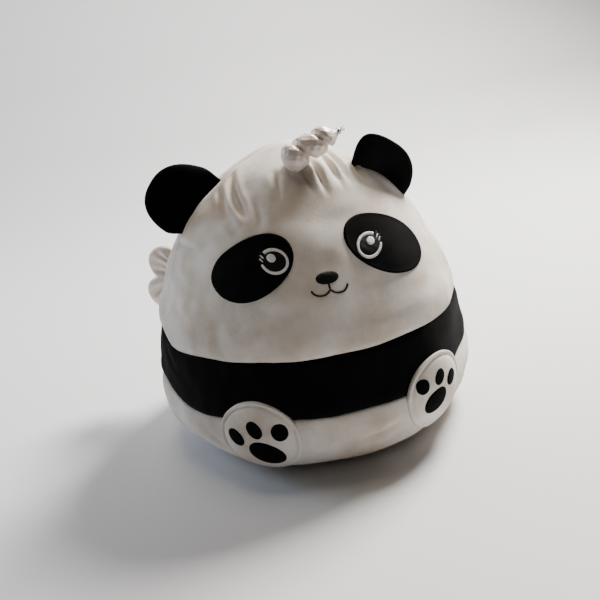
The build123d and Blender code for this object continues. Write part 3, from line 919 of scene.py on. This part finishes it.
def iridescent(name):
    """Foil-printed satin: pearl champagne that slips to lilac and ice blue with the folds."""
    material, tree = new_material(name)
    place = add(tree, "ShaderNodeTexCoord").outputs["Object"]
    drift = add(tree, "ShaderNodeTexNoise", {"Scale": 1000 / tint_mm, "Detail": 2.0, "Distortion": 0.6},
                links={"Vector": place})
    ramp = add(tree, "ShaderNodeValToRGB", links={"Fac": drift.outputs["Fac"]})
    ramp.color_ramp.elements[0].position = 0.28
    ramp.color_ramp.elements[0].color = linear("#D2CBCB")
    ramp.color_ramp.elements[1].position = 0.75
    ramp.color_ramp.elements[1].color = linear("#E6D5C4")
    for position, tint in ((0.42, "#DCCFC3"), (0.55, "#D9CBC0")):
        ramp.color_ramp.elements.new(position).color = linear(tint)
    wrinkles = add(tree, "ShaderNodeTexNoise", {"Scale": 1000 / crinkle_mm, "Detail": 3.0, "Distortion": 1.0},
                   links={"Vector": place})
    bump = add(tree, "ShaderNodeBump", {"Strength": 0.16, "Distance": 0.001},
               links={"Height": wrinkles.outputs["Fac"]})
    shader = add(tree, "ShaderNodeBsdfPrincipled",
                 {"Metallic": 0.18, "Roughness": 0.42, "Sheen Weight": 0.25, "Coat Weight": 0.2,
                  "Coat Roughness": 0.35},
                 links={"Base Color": ramp.outputs["Color"], "Normal": bump.outputs[0]})
    add(tree, "ShaderNodeOutputMaterial", links={"Surface": shader.outputs[0]})
    return material


def silver(name):
    """Metallised film yarn: bright, grainy, twisted."""
    material, tree = new_material(name)
    place = add(tree, "ShaderNodeTexCoord").outputs["Object"]
    twist = add(tree, "ShaderNodeTexNoise", {"Scale": 1000 / yarn_mm, "Detail": 2.0}, links={"Vector": place})
    ramp = add(tree, "ShaderNodeValToRGB", links={"Fac": twist.outputs["Fac"]})
    ramp.color_ramp.elements[0].position = 0.35
    ramp.color_ramp.elements[0].color = linear("#8E8F94")
    ramp.color_ramp.elements[1].position = 0.6
    ramp.color_ramp.elements[1].color = linear("#E2E3E8")
    bump = add(tree, "ShaderNodeBump", {"Strength": 0.5, "Distance": 0.0004},
               links={"Height": twist.outputs["Fac"]})
    shader = add(tree, "ShaderNodeBsdfPrincipled", {"Metallic": 0.9, "Roughness": 0.35},
                 links={"Base Color": ramp.outputs["Color"], "Normal": bump.outputs[0]})
    add(tree, "ShaderNodeOutputMaterial", links={"Surface": shader.outputs[0]})
    return material


pearl_satin = iridescent("pearl_foil_satin")
silver_yarn = silver("silver_metallised_yarn")


def horn_groove(along, turn):
    """1 in the thread's groove, falling to 0 on the swollen turns between."""
    phase = turn - 2 * pi * along / horn_pitch - horn_start_turn
    wrapped = (phase + pi) % (2 * pi) - pi
    return np.exp(-np.abs(wrapped / 0.75) ** 1.5)


def horn_radius(along, turn):
    share = np.clip(along / horn_length, 0, 1)
    full = horn_radii[0] + (horn_radii[1] - horn_radii[0]) * share
    tip = 1 - smoothstep((along - 0.70 * horn_length) / (0.32 * horn_length))
    full = horn_tip_radius + (full - horn_tip_radius) * tip
    bite = horn_groove(along, turn) * smoothstep((along + 4) / 9)
    puffs = 0.018 * np.sin(9 * turn + along / 2.1) + 0.012 * np.sin(14 * turn - along / 1.7)
    return full * (1.04 - 0.46 * bite * (0.45 + 0.55 * tip) + puffs * (1 - bite))


def horn_line(along):
    """The cone's middle line, with the slight droop of a limp thing."""
    droop = 1.5 * np.sin(pi * np.clip(along, 0, horn_length) / horn_length)
    return horn_base + np.multiply.outer(along, horn_axis) + np.multiply.outer(droop, horn_up)


def horn_surface(along, turn, radius):
    middle = horn_line(along)
    aside = (radius * np.cos(turn))[..., None] * horn_side
    return middle + aside + (radius * np.sin(turn))[..., None] * horn_up


horn_rows = 110
horn_columns = 72
base_reach = -13.0
along = np.linspace(base_reach, horn_length, horn_rows)[:, None] + np.zeros((1, horn_columns))
turn = np.linspace(0, 2 * pi, horn_columns, endpoint=False)[None, :] + np.zeros((horn_rows, 1))
heel = np.sqrt(np.clip(1 - np.clip(-along / -base_reach, 0, 1) ** 2, 0, 1))
radius = horn_radius(along, turn) * np.where(along < 0, heel, 1.0)
horn_outer = horn_surface(along, turn, radius)
horn_inner = horn_surface(along, turn, radius * 0.9)
points, faces = shell(horn_outer, horn_inner, joined=True)
horn_cover = make_piece("horn_cover", points, faces, pearl_satin, None, "iridescent_satin")
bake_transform(horn_cover)
filling_outer = horn_surface(along, turn, radius * 0.86)
points, faces = shell(filling_outer, horn_surface(along, turn, radius * 0.02), joined=True)
horn_filling = make_piece("horn_stuffing", points, faces, polyester_fibre, None, "polyester_filling")
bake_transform(horn_filling)

winding = np.linspace(1.0, 0.93 * horn_length, 260)
winding_turn = 2 * pi * winding / horn_pitch + horn_start_turn
thread_radius = 0.5
thread_path = horn_surface(winding, winding_turn, horn_radius(winding, winding_turn) + 0.45 * thread_radius)
thread = tube(thread_path, thread_radius, up=thread_path - horn_line(winding))
make_piece("horn_thread", *thread, silver_yarn, "horn", "silver_thread")
tail_random = np.random.default_rng(5)
knot_turns = np.linspace(0, 8 * pi, 40)
knot_along = np.linspace(horn_length - 3.0, horn_length + 1.5, len(knot_turns))
knot_path = horn_surface(knot_along, knot_turns, np.full(len(knot_turns), horn_tip_radius + 0.3))
tails = [tube(knot_path, 0.7, sides=6, up=horn_axis)]
for i in range(7):
    reach = np.linspace(0, 1, 9)
    spread = tail_random.normal(size=2) * 2.0
    wave = tail_random.uniform(0, 2 * pi)
    middle = horn_line(horn_length - 1.0 + 9.5 * reach)
    side_step = np.multiply.outer(spread[0] * reach + 0.8 * np.sin(5 * reach + wave), horn_side)
    up_step = np.multiply.outer(spread[1] * reach + 0.8 * np.cos(6 * reach + wave), horn_up)
    tails.append(tube(middle + side_step + up_step, 0.5 * (1 - 0.4 * reach), sides=5))
make_piece("horn_tip_thread", *merge(tails), silver_yarn, "horn", "silver_thread")

# ---------------------------------------------------------------- Wings
# Two scalloped lobes a side, cut from the same pearly satin as the horn, sewn face to face,
# turned and lightly filled. The root is tucked into a short seam behind each side, which
# throws folds out across the lobes.
wing_root = 44.0
wing_bearing = 133.0
wing_height = 180.0
# Each lobe of a wing: out from the root, up, and radius.
wing_lobes = [(40.0, 4.0, 27.5), (41.0, -42.0, 26.0)]
wing_sink = 12.0
wing_half_thickness = 8.5
wing_grid = (30, 120)
wing_hollow = 0.8
wing_padding_grid = (14, 50)
wing_padding_inset = 5.0


def wing_axes(s):
    """Seat on the skin, up the sewn root, out of the body, and across the wing."""
    seat = plain_skin(wing_height, s * wing_bearing, 0.0)
    outward = normalised(plain_skin(wing_height, s * wing_bearing, 1.0) - seat)
    tangent = np.array([cos(radians(wing_bearing)) * s, sin(radians(wing_bearing)), 0.0])
    root_line = normalised(np.cross(outward, tangent))
    root_line = root_line if root_line[2] > 0 else -root_line
    return seat, root_line, outward, np.cross(root_line, outward)


def wing_reach(angle):
    """How far the scalloped edge lies from the root, at an angle up from straight out."""
    direction = np.stack([np.cos(angle), np.sin(angle)], -1)
    reach = (wing_root / 2) / np.maximum(np.abs(np.sin(angle)), 0.55)
    for out, up, radius in wing_lobes:
        centre = np.array([out, up])
        near = direction @ centre
        inside = radius ** 2 - centre @ centre + near ** 2
        reach = np.maximum(reach, np.where(inside > 0, near + np.sqrt(np.clip(inside, 0, None)), 0))
    return reach


def wing_points(s, rings, turns, shrink, sheet):
    seat, root_line, outward, across = wing_axes(s)
    share = np.linspace(0, 1, rings)[:, None]
    angle = np.linspace(-0.5 * pi, 0.5 * pi, turns)[None, :]
    reach = wing_reach(angle) - shrink
    out = reach * share * np.cos(angle)
    up = reach * share * np.sin(angle)
    valley = np.exp(-((angle - 0.03) / 0.16) ** 2) * smoothstep(share / 0.5)
    folds = np.sin(13 * angle + 0.8) * 0.30 + np.sin(23 * angle + 2.0) * 0.16
    folds = folds * np.sin(pi * np.clip(share, 0, 1)) ** 0.7
    thick = np.sqrt(np.clip(1 - share ** 3.5, 0, 1)) * (0.3 + 0.7 * smoothstep(out / 24))
    thick = (wing_half_thickness - 0.8 * shrink) * thick * (1 + folds) * (1 - 0.45 * valley) + 0.3
    curve = -0.0022 * s * out ** 2
    side = sheet * thick + curve
    out = out - wing_sink * np.exp(-out / 10.0)
    return seat + up[..., None] * root_line + out[..., None] * outward + side[..., None] * across


for side, s in (("right", -1), ("left", 1)):
    seat, _, outward, across = wing_axes(s)
    middle = wing_points(s, *wing_grid, 0.0, 0.0)
    for name in ("front", "back"):
        facing = 1.0 if (across[1] < 0) == (name == "front") else -1.0
        outer = wing_points(s, *wing_grid, 0.0, facing)
        points, faces = shell(outer, hollowed(outer, middle, wing_hollow))
        piece = make_piece(f"wing_{name}_{side}", points, faces, pearl_satin, None, "iridescent_satin")
        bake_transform(piece)
    points, faces = shell(wing_points(s, *wing_padding_grid, wing_padding_inset, padding_fullness),
                          wing_points(s, *wing_padding_grid, wing_padding_inset, -padding_fullness))
    padding = make_piece(f"wing_padding_{side}", points, faces, polyester_fibre, None, "polyester_filling")
    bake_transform(padding)

# ---------------------------------------------------------------- Closing stitches
# The opening for the filling, low in the back panel, is drawn shut by hand with nine
# ladder stitches in white polyester thread.
stitch_count = 9
stitch_pitch = 7.0
closing_height = 34.0
stitch_reach = 2.6          # how far each stitch goes up and down from the opening
closing = []
for i in range(stitch_count):
    across = (i - (stitch_count - 1) / 2) * stitch_pitch
    tilt = 0.5 * sin(2.4 * i)
    ends = [(across - tilt, closing_height - stitch_reach), (across + tilt, closing_height + stitch_reach)]
    closing.append(sewn_line(ends, 1.1, 0.3, thickness=0.5, steps=8, bearing=180.0))
make_piece("closing_stitches", *merge(closing), white_rayon, "body", "white_embroidery")
